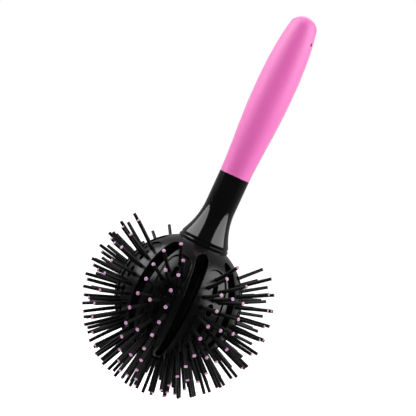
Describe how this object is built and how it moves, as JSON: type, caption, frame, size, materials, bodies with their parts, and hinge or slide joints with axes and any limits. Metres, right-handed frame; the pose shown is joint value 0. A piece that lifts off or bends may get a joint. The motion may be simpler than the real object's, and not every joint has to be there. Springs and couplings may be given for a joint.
{
  "type": "ball-shaped styling brush",
  "caption": "Round vented hair brush: a ball-shaped cage with nylon pins pointing out on all sides, a flared neck and a long soft-grip handle.",
  "frame": {"origin": "on the handle's axis, level with the tip of the lowest pin", "axes": "+Z along the handle's axis, from the ball to the handle's end; +X through the middle of one rib"},
  "size_m": [0.112, 0.112, 0.2366],
  "materials": {
    "grip": "soft matte",
    "core": "plain moulded",
    "gloss_black": "polished",
    "cage_black": "satin moulded",
    "nylon_black": "satin nylon",
    "tip_pink": "dipped, glossy"
  },
  "bodies": {
    "root": {"grip_skin": "grip", "handle_core": "core", "neck_shaft": "gloss_black", "collar_ring": "gloss_black", "crown_hub": "cage_black", "inner_barrel": "cage_black", "rib_1": "cage_black", "rib_2": "cage_black", "rib_3": "cage_black", "rib_4": "cage_black", "rib_5": "cage_black", "rib_6": "cage_black", "rib_7": "cage_black", "rib_8": "cage_black", "bristle_comb_1": "nylon_black", "bristle_comb_2": "nylon_black", "bristle_comb_3": "nylon_black", "bristle_comb_4": "nylon_black", "bristle_comb_5": "nylon_black", "bristle_comb_6": "nylon_black", "bristle_comb_7": "nylon_black", "bristle_comb_8": "nylon_black", "bristle_tips_1": "tip_pink", "bristle_tips_2": "tip_pink", "bristle_tips_3": "tip_pink", "bristle_tips_4": "tip_pink", "bristle_tips_5": "tip_pink", "bristle_tips_6": "tip_pink", "bristle_tips_7": "tip_pink", "bristle_tips_8": "tip_pink", "pole_hub": "cage_black", "pole_cap": "cage_black", "pole_comb": "nylon_black", "pole_tips": "tip_pink"}
  },
  "joints": []
}
